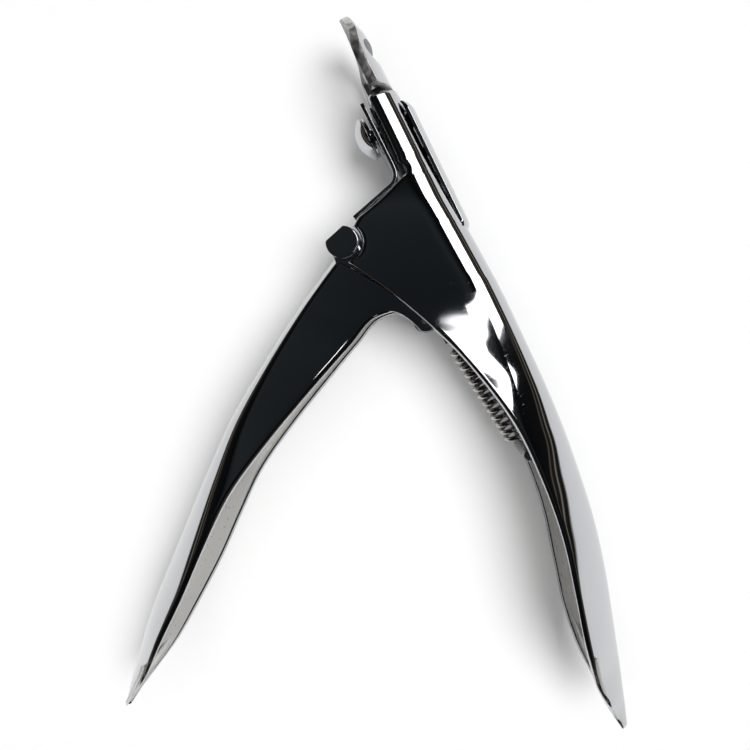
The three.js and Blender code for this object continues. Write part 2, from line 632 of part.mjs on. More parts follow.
add('frame_handle', frameHandle(), bright);
add('lever_handle', leverHandle(), bright);
add('pivot_pin', pivotPin(), bright);
add('drive_pin', barZ(DRIVE_R, -earOuter, earOuter, DRIVE_X, DRIVE_Y), plain);
add('drive_roller', driveRoller(), plain);
add('guide_plate', guidePlate(), bright);
add('cutter_blade', cutterBlade(), cutSteel);
add('blade_slide', bladeSlide(), plain);
add('slide_yoke', slideYoke(), plain);
bladeRivets.forEach((y, i) => {
  const geometry = barX(RIVET_R, slideFront + SUNK, bladeFront + BLADE_T - SUNK, y);
  add(`blade_rivet_${i + 1}`, geometry, plain);
});
add('yoke_rivet', barX(RIVET_R, footX - 0.85, slideFront + SLIDE_T - SUNK, yokeRivetY), plain);
add('front_cover', frontCover(), bright);
add('dome_screw', domeScrew(), bright);
add('dome_washer', domeWasher(), bright);
add('back_plate', backPlate(), bright);
RIVETS_Y.forEach((y, i) => {
  const start = y > TONGUE_FOOT ? guideFront + SUNK : NOSE_BACK - 0.35;
  add(`back_rivet_${i + 1}`, barX(RIVET_R, start, backInner + BACK_T - BACK_DROP - SUNK, y), bright);
});
add('return_spring', returnSpring(), wire);
add('spring_anchor_pin', barZ(ANCHOR_R, -ANCHOR_HALF, ANCHOR_HALF, ...anchor.toArray()), plain);

// Set the tool down: middle of its box over the origin, lowest point on z = 0.
const extent = new THREE.Box3().setFromObject(group);
const middle = extent.getCenter(new THREE.Vector3());
group.position.set(-middle.x, -middle.y, -extent.min.z);

export default group;
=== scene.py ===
"""Nail tip cutter in chromed sheet steel, lying on its side on a white table."""

import json
import math

import bmesh
import bpy
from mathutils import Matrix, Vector


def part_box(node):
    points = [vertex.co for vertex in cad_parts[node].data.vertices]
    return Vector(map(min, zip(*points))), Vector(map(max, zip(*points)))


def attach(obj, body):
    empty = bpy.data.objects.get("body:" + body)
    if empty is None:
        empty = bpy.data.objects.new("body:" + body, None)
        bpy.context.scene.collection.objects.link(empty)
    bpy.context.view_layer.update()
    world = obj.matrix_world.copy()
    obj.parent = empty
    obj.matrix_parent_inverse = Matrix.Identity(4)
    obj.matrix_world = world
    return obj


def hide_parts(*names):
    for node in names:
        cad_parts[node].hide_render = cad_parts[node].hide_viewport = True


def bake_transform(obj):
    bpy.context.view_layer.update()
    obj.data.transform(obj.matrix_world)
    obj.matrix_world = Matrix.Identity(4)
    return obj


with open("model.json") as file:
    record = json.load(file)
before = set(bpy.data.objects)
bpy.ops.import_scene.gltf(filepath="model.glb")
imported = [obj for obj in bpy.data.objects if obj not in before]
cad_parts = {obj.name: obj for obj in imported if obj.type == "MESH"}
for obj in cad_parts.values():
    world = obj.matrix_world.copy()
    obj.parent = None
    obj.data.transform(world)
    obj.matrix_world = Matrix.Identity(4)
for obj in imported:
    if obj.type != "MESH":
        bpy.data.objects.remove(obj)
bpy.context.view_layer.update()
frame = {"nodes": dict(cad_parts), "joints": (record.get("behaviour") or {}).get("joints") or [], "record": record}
scene = bpy.context.scene
record = frame["record"]

MM = 0.001
PIVOT = Vector(next(j for j in frame["joints"] if j["name"] == "lever_squeeze")["pos_m"])


def at(x, y, z=0.0):
    """A place given in millimetres from the lever's pivot, on the tool's mid-plane."""
    return PIVOT + Vector((x, y, z)) * MM


def reach(name):
    """A CAD node's lowest and highest corner, in millimetres from the pivot."""
    low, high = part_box(name)
    return (low - PIVOT) / MM, (high - PIVOT) / MM


# ---- sizes read off the frame, in millimetres from the pivot ------------------------------------

FRAME_HIGH = reach("frame_handle")[1]
GUIDE_LOW, GUIDE_HIGH = reach("guide_plate")
BLADE_LOW, BLADE_HIGH = reach("cutter_blade")
COVER_LOW, COVER_HIGH = reach("front_cover")
DOME_LOW, DOME_HIGH = reach("dome_screw")
WASHER_LOW, WASHER_HIGH = reach("dome_washer")
BACK_LOW, BACK_HIGH = reach("back_plate")
PIN_LOW, PIN_HIGH = reach("pivot_pin")
DRIVE_LOW, DRIVE_HIGH = reach("drive_pin")
ANCHOR_LOW, ANCHOR_HIGH = reach("spring_anchor_pin")

GRIP = FRAME_HIGH.z                      # half the width of the fixed handle
NOSE_TOP = FRAME_HIGH.y                  # open end of the nose
SHEET = 0.8                              # pressed sheet
RIM_WIDTH = 1.1                          # width of the rolled rim
PIVOT_R = 2.85
PIVOT_FLAT = 2.05                        # from the pin's middle to its flat
SHELF_TILT = 0.275                       # slope of the shelf and the pin's flat, radians
EAR_ROOM = 0.02                          # between the lever's ears and the ends of the pin
DRIVE = (DRIVE_LOW + DRIVE_HIGH) / 2
DRIVE_R = (DRIVE_HIGH.x - DRIVE_LOW.x) / 2
SCREW_Y = (DOME_LOW.y + DOME_HIGH.y) / 2
ARCH_R = 10.4                            # outer radius of the arched nail guide
GUIDE_T = 1.2
BLADE_T = 1.0
BLADE_ROOM = 0.3                         # between the guide and the blade under it
TONGUE_HALF = 3.4                        # half the width of the two flat tongues
SLOT_R = 2.2                             # nail slot: half its height
SLOT_HALF = 5.6                          # and half its length
SLOT_DOWN = 9.6                          # tip of the guide down to the middle of the slot
WIRE_R = 0.45
COIL_R = 1.8
COIL_TURNS = 13
TURN_STEPS = 28                          # points on each turn
WIRE_SIDES = 10
EYE_X = reach("slide_yoke")[0].x + 3.85  # middle of the yoke's eye, for the spring's hook
EYE_Y = -22.25
HOOK_LENGTH = 2.6                        # from a hook's end to the first full coil
HOOK_R = 1.55                            # hook round the anchor
HOOK_STEPS = 8


# ---- colours and shader nodes -------------------------------------------------------------------


def colour(hex_code):
    """An sRGB hex colour as linear red, green, blue and alpha."""
    parts = [int(hex_code[i:i + 2], 16) / 255 for i in (1, 3, 5)]
    return [c / 12.92 if c <= 0.04045 else ((c + 0.055) / 1.055) ** 2.4 for c in parts] + [1.0]


def node(tree, kind, settings=None, **links):
    """Adds a shader node with its settings and inputs; nodes and sockets are linked."""
    made = tree.nodes.new(kind)
    for key, value in (settings or {}).items():
        setattr(made, key, value)
    for key, value in links.items():
        socket = made.inputs[key.replace("_", " ")]
        if isinstance(value, bpy.types.Node):
            value = value.outputs[0]
        if isinstance(value, bpy.types.NodeSocket):
            tree.links.new(value, socket)
        else:
            socket.default_value = value
    return made


def per_mm(size):
    """The scale at which a pattern repeats about every so many millimetres."""
    return 1 / (size * MM)


def surface(name, base):
    """A new metal: its tree, its Principled shader and the object's own coordinates."""
    made = bpy.data.materials.new(name)
    made.use_nodes = True
    tree = made.node_tree
    shader = tree.nodes["Principled BSDF"]
    shader.inputs["Base Color"].default_value = colour(base)
    shader.inputs["Metallic"].default_value = 1.0
    return made, tree, shader, node(tree, "ShaderNodeTexCoord").outputs["Object"]


def grained_metal(name, base, squeeze, size, detail, rough, depth, strength):
    """A metal with one grain in its gloss and its relief, squeezed into lines or left even."""
    made, tree, shader, place = surface(name, base)
    along = node(tree, "ShaderNodeMapping", Vector=place, Scale=squeeze)
    grain = node(tree, "ShaderNodeTexNoise", Vector=along, Scale=per_mm(size), Detail=detail)
    gloss = node(tree, "ShaderNodeMapRange", Value=grain, From_Min=0.3, From_Max=0.7,
                 To_Min=rough[0], To_Max=rough[1])
    bumps = node(tree, "ShaderNodeBump", Height=grain, Strength=strength, Distance=depth * MM)
    tree.links.new(gloss.outputs[0], shader.inputs["Roughness"])
    tree.links.new(bumps.outputs[0], shader.inputs["Normal"])
    return made


# ---- materials ----------------------------------------------------------------------------------

EVEN = (1.0, 1.0, 1.0)


def polished_chrome():
    """Chrome plate over buffed steel: a near mirror that shows the room in clean shapes.

    Wipe marks and worn corners dull it here and there. Its hairlines and pits are drawn coarser
    than real ones, which would be too fine to show.
    """
    made, tree, shader, place = surface("buffed_chrome_plate", "#C3C4C7")
    wipes = node(tree, "ShaderNodeTexNoise", Vector=place, Scale=per_mm(9), Detail=5.0)
    wiped = node(tree, "ShaderNodeMapRange", Value=wipes, From_Min=0.3, From_Max=0.7,
                 To_Min=0.015, To_Max=0.055)
    corners = node(tree, "ShaderNodeNewGeometry").outputs["Pointiness"]
    worn = node(tree, "ShaderNodeMapRange", Value=corners, From_Min=0.52, From_Max=0.62,
                To_Min=0.0, To_Max=0.08)
    rough = node(tree, "ShaderNodeMath", {"operation": "ADD"})
    tree.links.new(wiped.outputs[0], rough.inputs[0])
    tree.links.new(worn.outputs[0], rough.inputs[1])
    along = node(tree, "ShaderNodeMapping", Vector=place, Scale=(1.0, 30.0, 8.0),
                 Rotation=(0.3, 0.2, 0.5))
    hairs = node(tree, "ShaderNodeTexNoise", Vector=along, Scale=per_mm(5), Detail=7.0,
                 Roughness=0.72)
    hairlines = node(tree, "ShaderNodeMapRange", Value=hairs, From_Min=0.66, From_Max=0.70,
                     To_Min=0.0, To_Max=1.0)
    cuts = node(tree, "ShaderNodeBump", Height=hairlines, Strength=1.0, Distance=0.0012 * MM)
    specks = node(tree, "ShaderNodeTexVoronoi", Vector=place, Scale=per_mm(4))
    holes = node(tree, "ShaderNodeMapRange", Value=specks, From_Min=0.015, From_Max=0.03,
                 To_Min=0.0, To_Max=1.0)
    pits = node(tree, "ShaderNodeBump", Height=holes, Strength=0.5, Distance=0.003 * MM,
                Normal=cuts)
    press = node(tree, "ShaderNodeTexNoise", Vector=place, Scale=per_mm(14), Detail=1.0)
    waves = node(tree, "ShaderNodeBump", Height=press, Strength=0.4, Distance=0.03 * MM,
                 Normal=pits)
    tree.links.new(rough.outputs[0], shader.inputs["Roughness"])
    tree.links.new(waves.outputs[0], shader.inputs["Normal"])
    return made


def tumbled_plate():
    """Inside of the pressings, plated but never buffed: satin, with faint drawn lines.

    The lines, like the next metals' grain, are drawn coarser than real ones, so that they show.
    """
    made = grained_metal("tumbled_inside_plate", "#D2D1CE", (9.0, 1.0, 9.0), 3, 5.0,
                         (0.26, 0.42), 0.01, 0.5)
    made.node_tree.nodes["Principled BSDF"].inputs["Metallic"].default_value = 0.45
    return made


def sheared_edge():
    """Edge of blanked sheet under plate: torn grain that glitters in small patches.

    The grain is drawn coarser than the real tearing, which would be too fine to show.
    """
    made, tree, shader, place = surface("sheared_plated_edge", "#D8D6D3")
    grain = node(tree, "ShaderNodeTexNoise", Vector=place, Scale=per_mm(1.5), Detail=5.0)
    tone = node(tree, "ShaderNodeMix", {"data_type": "RGBA"}, Factor=grain)
    tone.inputs[6].default_value = colour("#A8A29B")
    tone.inputs[7].default_value = colour("#FFFFFF")
    gloss = node(tree, "ShaderNodeMapRange", Value=grain, From_Min=0.3, From_Max=0.7,
                 To_Min=0.3, To_Max=0.55)
    chips = node(tree, "ShaderNodeTexVoronoi", Vector=place, Scale=per_mm(1.3))
    torn = node(tree, "ShaderNodeBump", Height=chips, Strength=1.0, Distance=0.12 * MM)
    bumps = node(tree, "ShaderNodeBump", Height=grain, Strength=0.6, Distance=0.06 * MM,
                 Normal=torn)
    tree.links.new(tone.outputs[2], shader.inputs["Base Color"])
    tree.links.new(gloss.outputs[0], shader.inputs["Roughness"])
    tree.links.new(bumps.outputs[0], shader.inputs["Normal"])
    return made


def ground_steel():
    """Blade steel off the grinding wheel: fine parallel lines and a duller, darker shine."""
    return grained_metal("ground_blade_steel", "#A9AAAC", (1.0, 0.06, 1.0), 0.35, 3.0,
                         (0.18, 0.38), 0.02, 0.4)


def plated_steel_and_shade():
    """Inside parts, blanked and barrel-plated: grey, a little grainy, never buffed; under the nail guide the same
    grey is painted shade.
    """
    return grained_metal("barrel_plated_steel_and_painted_shade", "#8F9092", EVEN, 1.4, 5.0, (0.2, 0.45), 0.03,
                         0.5)


def drawn_wire():
    """Drawn spring wire, nickel plated: bright, with the faint marks of the die."""
    return grained_metal("drawn_spring_wire", "#B4B1AD", EVEN, 0.5, 4.0, (0.08, 0.26), 0.02,
                         0.4)


CHROME = polished_chrome()
INSIDE = tumbled_plate()
EDGE = sheared_edge()
BLADE = ground_steel()
PLATED_STEEL_AND_SHADE = plated_steel_and_shade()
WIRE = drawn_wire()


# ---- mesh helpers -------------------------------------------------------------------------------

ONE_PLACE = 1e-7                         # points nearer than this, in metres, are one point
TURNED_SIDES = 72


def mesh_piece(name, points, faces, body, stands_for, materials=(CHROME,)):
    """A smooth piece with its faces turned out, on a CAD body, standing for some CAD nodes."""
    data = bpy.data.meshes.new(name)
    data.from_pydata([tuple(p) for p in points], [], faces)
    for material in materials:
        data.materials.append(material)
    bm = bmesh.new()
    bm.from_mesh(data)
    bmesh.ops.remove_doubles(bm, verts=bm.verts, dist=ONE_PLACE)
    bmesh.ops.recalc_face_normals(bm, faces=bm.faces)
    for face in bm.faces:
        face.smooth = True
    bm.to_mesh(data)
    bm.free()
    piece = bpy.data.objects.new(name, data)
    scene.collection.objects.link(piece)
    if body:
        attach(piece, body)
    if stands_for:
        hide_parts(*stands_for)
    return piece


def face_towards(piece, direction):
    """Turns an open sheet's faces so that most of them look in a direction."""
    look = Vector(direction)
    if sum(p.normal.dot(look) * p.area for p in piece.data.polygons) < 0:
        piece.data.flip_normals()


def modify(piece, kind, **settings):
    """Adds a modifier with its settings."""
    made = piece.modifiers.new(kind.lower(), kind)
    for key, value in settings.items():
        setattr(made, key, value)


def soften(piece, width_mm, segments=3, angle=35):
    """Rounds the edges of a pressed or turned piece."""
    modify(piece, "BEVEL", width=width_mm * MM, segments=segments, limit_method="ANGLE",
           angle_limit=math.radians(angle))
    modify(piece, "WEIGHTED_NORMAL", keep_sharp=True)


def grid_faces(rows, columns, closed=False):
    """Faces of a grid of points, row after row; closed joins each row's end to its start."""
    faces = []
    for i in range(rows - 1):
        for k in range(columns if closed else columns - 1):
            a, b = i * columns + k, i * columns + (k + 1) % columns
            faces.append([a, b, b + columns, a + columns])
    return faces


def prism(name, outline, low, high, body, stands_for, material, edge_mm):
    """A plate across the tool: an outline in x and y, from z low to z high, with soft edges."""
    n = len(outline)
    points = [at(x, y, z) for z in (low, high) for x, y in outline]
    faces = grid_faces(2, n, True) + [list(range(n)), list(range(n, 2 * n))]
    piece = mesh_piece(name, points, faces, body, stands_for, (material,))
    soften(piece, edge_mm)
    return piece


def turned(name, profile, place, body, stands_for, material, edge_mm=0.0):
    """A turned piece: (radius, height) points swept round, put in place by a function."""
    points = []
    for i in range(TURNED_SIDES):
        a = 2 * math.pi * i / TURNED_SIDES
        points += [place(r * math.cos(a), r * math.sin(a), h) for r, h in profile]
    faces = grid_faces(TURNED_SIDES, len(profile))
    last = (TURNED_SIDES - 1) * len(profile)
    faces += [[last + k, k, k + 1, last + k + 1] for k in range(len(profile) - 1)]
    piece = mesh_piece(name, points, faces, body, stands_for, (material,))
    if edge_mm:
        soften(piece, edge_mm, 3, 30)
    return piece


def arc(cx, cy, radius, start, end, steps):
    """Points on an arc, angles in degrees, both ends included."""
    turns = [math.radians(start + (end - start) * k / steps) for k in range(steps + 1)]
    return [(cx + radius * math.cos(a), cy + radius * math.sin(a)) for a in turns]


def bezier(a, b, c, d, steps):
    """Points on a cubic curve, without its first."""
    out = []
    for k in range(1, steps + 1):
        t = k / steps
        w = ((1 - t) ** 3, 3 * t * (1 - t) ** 2, 3 * t * t * (1 - t), t ** 3)
        out.append(tuple(sum(m * p[i] for m, p in zip(w, (a, b, c, d))) for i in range(len(a))))
    return out


def spline(rows, steps):
    """Smooth rows of numbers: a Catmull-Rom curve through every row."""
    out = []
    for i in range(len(rows) - 1):
        p0, p1, p2, p3 = rows[max(i - 1, 0)], rows[i], rows[i + 1], rows[min(i + 2, len(rows) - 1)]
        for k in range(steps):
            t = k / steps
            out.append([0.5 * (2 * b + (c - a) * t + (2 * a - 5 * b + 4 * c - d) * t * t
                               + (3 * b - a - 3 * c + d) * t ** 3)
                        for a, b, c, d in zip(p0, p1, p2, p3)])
    out.append(list(rows[-1]))
    return out


# ---- pressed channels ---------------------------------------------------------------------------

RIM_POINTS = 6
BEND_POINTS = 40
ROLL_POWER = 2.2                         # how quickly the rolled rim turns under
WEB_T = 0.5
WEB_ROOM = 0.5                           # from the channel's outside to the web's side
WEB_DEEP = 0.3                           # the web's depth under the rim at the very tail
WEB_HOLLOW = 0.22                        # hollow of its upper end, as a share of its length


def section(depth, half, bend, power, lip):
    """Half of a channel's section: (distance in from the rim, height off the mid-plane).

    The side is level until bend is left to the back, then rounds over; where bend is more than
    the depth it slopes from the rim on. A power of 2 is an ellipse, less is nearer to a wedge.
    lip is how far the rim is rolled under.
    """
    def height(u):
        t = max(0.0, (u - depth + bend) / bend)
        return half * max(0.0, 1 - t ** power) ** (1 / power)
    edge = min(RIM_WIDTH, depth * 0.3)
    points = []
    for k in range(RIM_POINTS):
        u = edge * k / RIM_POINTS
        points.append((u, height(u) - lip * (1 - k / RIM_POINTS) ** ROLL_POWER))
    for k in range(BEND_POINTS + 1):
        share = math.sin(k / BEND_POINTS * math.pi / 2)
        u = edge + (depth - edge) * share
        points.append((u, height(u)))
    return points


def pressed_channel(name, rows, body, stands_for):
    """A pressed channel from rows of (rim x, y, back x, y, half width, bend, power, lip)."""
    points = []
    width = 0
    for rx, ry, bx, by, half, bend, power, lip in rows:
        across = Vector((bx - rx, by - ry))
        depth = across.length
        across.normalize()
        side = section(depth, half, bend, power, lip)
        ring = side + [(u, -v) for u, v in side[-2::-1]]
        width = len(ring)
        points += [at(rx + across.x * u, ry + across.y * u, v) for u, v in ring]
    piece = mesh_piece(name, points, grid_faces(len(rows), width), body,
                       stands_for, (CHROME, INSIDE))
    middle = rows[len(rows) // 2]
    face_towards(piece, (middle[2] - middle[0], middle[3] - middle[1], 0))
    modify(piece, "SOLIDIFY", thickness=SHEET * MM, offset=-1.0, material_offset=1)
    return piece


def tail_web(name, rows, first, inset, body):
    """The folded face that closes a handle's tail from its row first on."""
    points = []
    across_steps, along_steps = 20, 22
    last = len(rows) - 1
    for i in range(along_steps + 1):
        for k in range(across_steps + 1):
            v = 2 * k / across_steps - 1
            begin = first + (last - first) * WEB_HOLLOW * (1 - v * v)
            s = begin + (last - begin) * i / along_steps
            low = int(min(s, last - 1))
            row = [a + (b - a) * (s - low) for a, b in zip(rows[low], rows[low + 1])]
            across = Vector((row[2] - row[0], row[3] - row[1])).normalized()
            depth = inset * (1 - i / along_steps) + WEB_DEEP
            points.append(at(row[0] + across.x * depth, row[1] + across.y * depth,
                             v * (row[4] - WEB_ROOM)))
    piece = mesh_piece(name, points, grid_faces(along_steps + 1, across_steps + 1), body,
                       [], (INSIDE,))
    modify(piece, "SOLIDIFY", thickness=WEB_T * MM, offset=0.0)
    return piece


# ---- frame with the fixed handle ----------------------------------------------------------------

NOSE_HALF = 5.3
NOSE_FRONT = 14.9
NOSE_BACK = 20.6
FRAME_WEB_ROWS = 26                      # the tail web closes this many of the last rows

# height of the back, how far the bend runs in from it, and the power of its curve
BENDS = [
    (20.6, 6.2, 2.1), (8, 6.5, 2.1), (-2, 7.4, 2.1), (-12, 8.0, 2.1), (-24, 8.4, 2.1),
    (-36, 8.8, 2.0), (-46, 9.0, 1.7), (-55, 9.0, 1.4), (-64, 8.6, 1.25), (-75, 8.2, 1.15),
    (-88, 6.4, 1.15), (-96, 3.7, 1.2), (-101, 1.4, 1.3),
]


def bend_at(y):
    """The frame's bend at a height y of its back, and its power: tight above, a wedge below."""
    for (y0, *first), (y1, *last) in zip(BENDS, BENDS[1:]):
        if y >= y1:
            t = min(1.0, max(0.0, (y0 - y) / (y0 - y1)))
            t = t * t * (3 - 2 * t)
            return [a + (b - a) * t for a, b in zip(first, last)]
    return list(BENDS[-1][1:])


def frame_rows():
    """Stations down the frame, from the open end of the nose to the tail.

    A station is rim x and y, back x and y, half width and lip, until its bend is put in.
    """
    rows = spline([
        [NOSE_FRONT, NOSE_TOP, NOSE_BACK, NOSE_TOP, NOSE_HALF, 0.75],
        [NOSE_FRONT, 14.0, NOSE_BACK, 13.5, NOSE_HALF, 0.7],
        [NOSE_FRONT - 0.1, 8.9, NOSE_BACK, 8.0, NOSE_HALF + 0.05, 0.6],
    ], 8)[:-1]
    for k, (x, y) in enumerate(arc(14.0, 6.9, 1.35, 60, -80, 10)):
        t = k / 10
        rows.append([x, y, NOSE_BACK + 0.05 * t, 7.9 - 4.5 * t, NOSE_HALF + 0.06 + 0.3 * t,
                     0.5 - 0.2 * t])
    rows += spline([
        [13.4, 5.35, 20.66, 3.0, 5.68, 0.3],
        [9.0, 3.75, 20.75, -1.8, 5.93, 0.3],
        [4.2, 2.55, 20.95, -6.0, 6.0, 0.3],
    ], 7)
    for k, (x, y) in enumerate(arc(0, 0, 3.3, 30, -100, 18)):
        t = k / 18
        rows.append([x, y, 21.02 + 0.42 * t, -7.0 - 10.3 * t, 6.0, 0.55])
    rows += spline([
        [-0.7, -3.55, 21.45, -17.7, 6.0, 0.5],
        [3.4, -11.2, 21.45, -22.0, 6.0, 0.5],
        [7.3, -20.2, 21.3, -29.0, 6.05, 0.55],
        [10.1, -29.0, 21.1, -36.0, 6.3, 0.6],
        [12.1, -40.0, 20.6, -45.0, 7.25, 0.7],
        [12.1, -50.0, 19.6, -54.0, 8.1, 0.8],
        [10.9, -60.5, 18.0, -64.0, 8.63, 0.8],
        [8.4, -70.6, 15.6, -73.5, GRIP, 0.8],
        [6.1, -79.2, 12.9, -82.0, 8.1, 0.8],
        [4.9, -86.6, 10.6, -89.0, 6.25, 0.7],
        [5.0, -93.8, 8.4, -95.4, 3.5, 0.5],
        [5.5, -99.7, 6.7, -100.1, 1.1, 0.2],
    ], 9)
    return [row[:5] + bend_at(row[3]) + [row[5]] for row in rows]


def build_frame():
    """The frame's channel, which is its nose, body and fixed handle, and the web in its tail."""
    rows = frame_rows()
    pressed_channel("frame_shell", rows, "frame", ["frame_handle"])
    tail_web("frame_tail_web", rows, len(rows) - FRAME_WEB_ROWS, 1.1, "frame")


# ---- lever --------------------------------------------------------------------------------------

LEVER_WEB_ROWS = 22


def lever_rows():
    """Stations down the lever, from beside the pivot to the tail, as pressed_channel takes them."""
    ear = DRIVE_HIGH.z
    return spline([
        [6.6, -15.5, -2.8, -1.0, ear, 2.0, 2.1, 0.3],
        [-0.9, -13.95, -7.5, -3.4, ear, 2.0, 2.1, 0.4],
        [-6.8, -16.3, -13.5, -6.6, ear + 0.1, 2.2, 2.1, 0.5],
        [-15.0, -19.8, -21.8, -11.6, 6.05, 2.8, 2.1, 0.6],
        [-25.6, -24.6, -31.2, -17.6, 7.3, 4.2, 2.0, 0.7],
        [-35.0, -29.6, -39.7, -24.2, 8.2, 6.0, 1.8, 0.8],
        [-42.7, -35.5, -47.0, -30.3, 8.7, 7.0, 1.6, 0.8],
        [-49.8, -41.4, -53.9, -36.2, GRIP, 7.4, 1.45, 0.8],
        [-57.0, -46.8, -60.6, -42.2, 8.1, 6.6, 1.4, 0.8],
        [-63.2, -51.3, -66.2, -48.1, 6.0, 5.0, 1.35, 0.6],
        [-68.6, -54.2, -70.2, -52.5, 3.1, 2.7, 1.35, 0.3],
        [-72.4, -56.1, -72.8, -55.7, 1.0, 0.7, 1.4, 0.1],
    ], 9)


def ear_outline():
    """Outline of one of the two ears that carry the pivot and drive pins."""
    boss = PIVOT_R + 0.15
    tilt = 90 + math.degrees(SHELF_TILT)
    half = math.degrees(math.acos((PIVOT_FLAT + 0.1) / boss))
    outline = [(-7.8, -6.4), (-3.0, -3.6)]
    outline += arc(0, 0, boss, tilt + half + 60, tilt + half, 8)
    outline += arc(0, 0, boss, tilt - half, -14, 10)
    outline += arc(DRIVE.x, DRIVE.y, 2.0, 6, -135, 20)
    start = outline[-1]
    end = (-0.6, -13.7)
    bend = (3.6, -13.1)
    outline += bezier(start, [(a + 2 * b) / 3 for a, b in zip(start, bend)],
                      [(a + 2 * b) / 3 for a, b in zip(end, bend)], end, 10)
    return outline + [(-5.2, -13.2)]


def build_lever():
    """The lever's channel, the web in its tail and its two ears."""
    rows = lever_rows()
    pressed_channel("lever_shell", rows, "lever", ["lever_handle"])
    tail_web("lever_tail_web", rows, len(rows) - LEVER_WEB_ROWS, 0.9, "lever")
    outer = DRIVE_HIGH.z - EAR_ROOM
    for side, name in ((1, "lever_ear_near"), (-1, "lever_ear_far")):
        low, high = sorted((side * outer, side * (outer - SHEET)))
        prism(name, ear_outline(), low, high, "lever", [], CHROME, 0.3)


def build_pins():
    """The pivot pin with its flat, the drive pin and the spring's anchor."""
    tilt = 90 + math.degrees(SHELF_TILT)
    half = math.degrees(math.acos(PIVOT_FLAT / PIVOT_R))
    outline = arc(0, 0, PIVOT_R, tilt + half, tilt - half + 360, 48)
    prism("pivot_pin_d", outline, PIN_LOW.z, PIN_HIGH.z, "lever", ["pivot_pin"],
          CHROME, 0.4)

    def pin(centre, radius, low, high):
        profile = [(0, low), (radius * 0.6, low), (radius, low + 0.35), (radius, high - 0.35),
                   (radius * 0.6, high), (0, high)]
        return profile, lambda a, b, h: at(centre.x + a, centre.y + b, h)

    profile, place = pin(DRIVE, DRIVE_R, DRIVE_LOW.z, DRIVE_HIGH.z)
    turned("drive_pin_round", profile, place, "lever", ["drive_pin"], PLATED_STEEL_AND_SHADE, 0.1)
    middle = (ANCHOR_LOW + ANCHOR_HIGH) / 2
    radius = (ANCHOR_HIGH.x - ANCHOR_LOW.x) / 2
    profile, place = pin(middle, radius, ANCHOR_LOW.z, ANCHOR_HIGH.z)
    turned("spring_anchor", profile, place, "frame", ["spring_anchor_pin"], PLATED_STEEL_AND_SHADE,
           0.1)


# ---- nail guide and blade -----------------------------------------------------------------------

GUIDE_ROOT = 0.6                         # where the guide's arch starts, over the nose
GUIDE_SHOULDER = 1.6                     # from the slot's middle down to the full width
GUIDE_FALL_FROM = 6.2                    # from the tip down to where the arch starts to drop
GUIDE_FALL = 1.9                         # and how far it has dropped at the tip
GUIDE_STEP = 1.2                         # the tongue's joggle under the arch
BLADE_ROOT = 1.9                         # where the blade's arch starts, over the nose
BLADE_CROWN = 1.4                        # the cutting edge's corners lie lower by this


def evenly(points, count):
    """A closed outline as count points at even distances, from its first point on."""
    loop = points + [points[0]]
    lengths = [math.dist(a, b) for a, b in zip(loop, loop[1:])]
    total = sum(lengths)
    out, i, walked = [], 0, 0.0
    for k in range(count):
        goal = total * k / count
        while walked + lengths[i] < goal:
            walked += lengths[i]
            i += 1
        t = (goal - walked) / lengths[i]
        out.append(tuple(a + (b - a) * t for a, b in zip(loop[i], loop[i + 1])))
    return out


def arch_point(y, z, radius, drop_from, drop):
    """A place on the arch, which comes down towards its tip."""
    fall = drop * max(0.0, (y - drop_from) / (GUIDE_HIGH.y - drop_from)) ** 1.2
    axis = GUIDE_HIGH.x - ARCH_R
    return at(axis - fall + math.sqrt(radius * radius - z * z), y, z)


def build_guide():
    """The arched nail guide with its slot; the sheared edge shows along its side, and its underside is painted
    shade in plated grey.
    """
    tip = GUIDE_HIGH.y
    wide = GUIDE_HIGH.z
    root = NOSE_TOP + GUIDE_ROOT
    slot_y = tip - SLOT_DOWN
    shoulder = slot_y - GUIDE_SHOULDER
    side = [(tip, 0)] + bezier((tip, 0), (tip - 1.7, wide * 0.56), (shoulder + 4.5, wide),
                               (shoulder, wide), 24)
    outline = side + [(root, wide), (root, -wide)] + [(y, -z) for y, z in side[:0:-1]]
    ends = SLOT_HALF - SLOT_R
    hole = [(slot_y + SLOT_R, 0)]
    hole += [(slot_y + b, ends + a) for a, b in arc(0, 0, SLOT_R, 90, -90, 16)]
    hole += [(slot_y - b, -ends - a) for a, b in arc(0, 0, SLOT_R, 90, -90, 16)]
    count, rings = 168, 9
    outer, inner = evenly(outline, count), evenly(hole, count)
    points = []
    for radius in (ARCH_R, ARCH_R - GUIDE_T):
        for r in range(rings + 1):
            for (y0, z0), (y1, z1) in zip(inner, outer):
                t = r / rings
                points.append(arch_point(y0 + (y1 - y0) * t, z0 + (z1 - z0) * t, radius,
                                         tip - GUIDE_FALL_FROM, GUIDE_FALL))
    layer = count * (rings + 1)
    skin = grid_faces(rings + 1, count, True)
    faces = skin + [[i + layer for i in face] for face in skin]
    walls = []
    for first in (0, count * rings):
        walls.append([[first + k, first + (k + 1) % count, first + (k + 1) % count + layer,
                       first + k + layer] for k in range(count)])
    faces += walls[0] + walls[1]
    piece = mesh_piece("guide_arch", points, faces, "frame", ["guide_plate"],
                       (CHROME, EDGE, PLATED_STEEL_AND_SHADE))
    # the arch's underside gets the darker plated grey as painted shade, standing for the shadow under the arch;
    # its rim and slot walls get the sheared edge
    outer_skin, slot_wall = len(skin), 2 * len(skin) + count
    for polygon in piece.data.polygons:
        polygon.material_index = (0 if polygon.index < outer_skin
                                  else 2 if polygon.index < slot_wall else 1)
    soften(piece, 0.1, 2, 40)
    x, bottom = GUIDE_LOW.x, GUIDE_LOW.y
    under_arch = x + GUIDE_T + GUIDE_STEP
    outline = [(x, bottom), (x + GUIDE_T, bottom), (under_arch, root), (under_arch, root + 1),
               (x, root + 1)]
    prism("guide_tongue", outline, -TONGUE_HALF, TONGUE_HALF, "frame", [],
          PLATED_STEEL_AND_SHADE, 0.15)


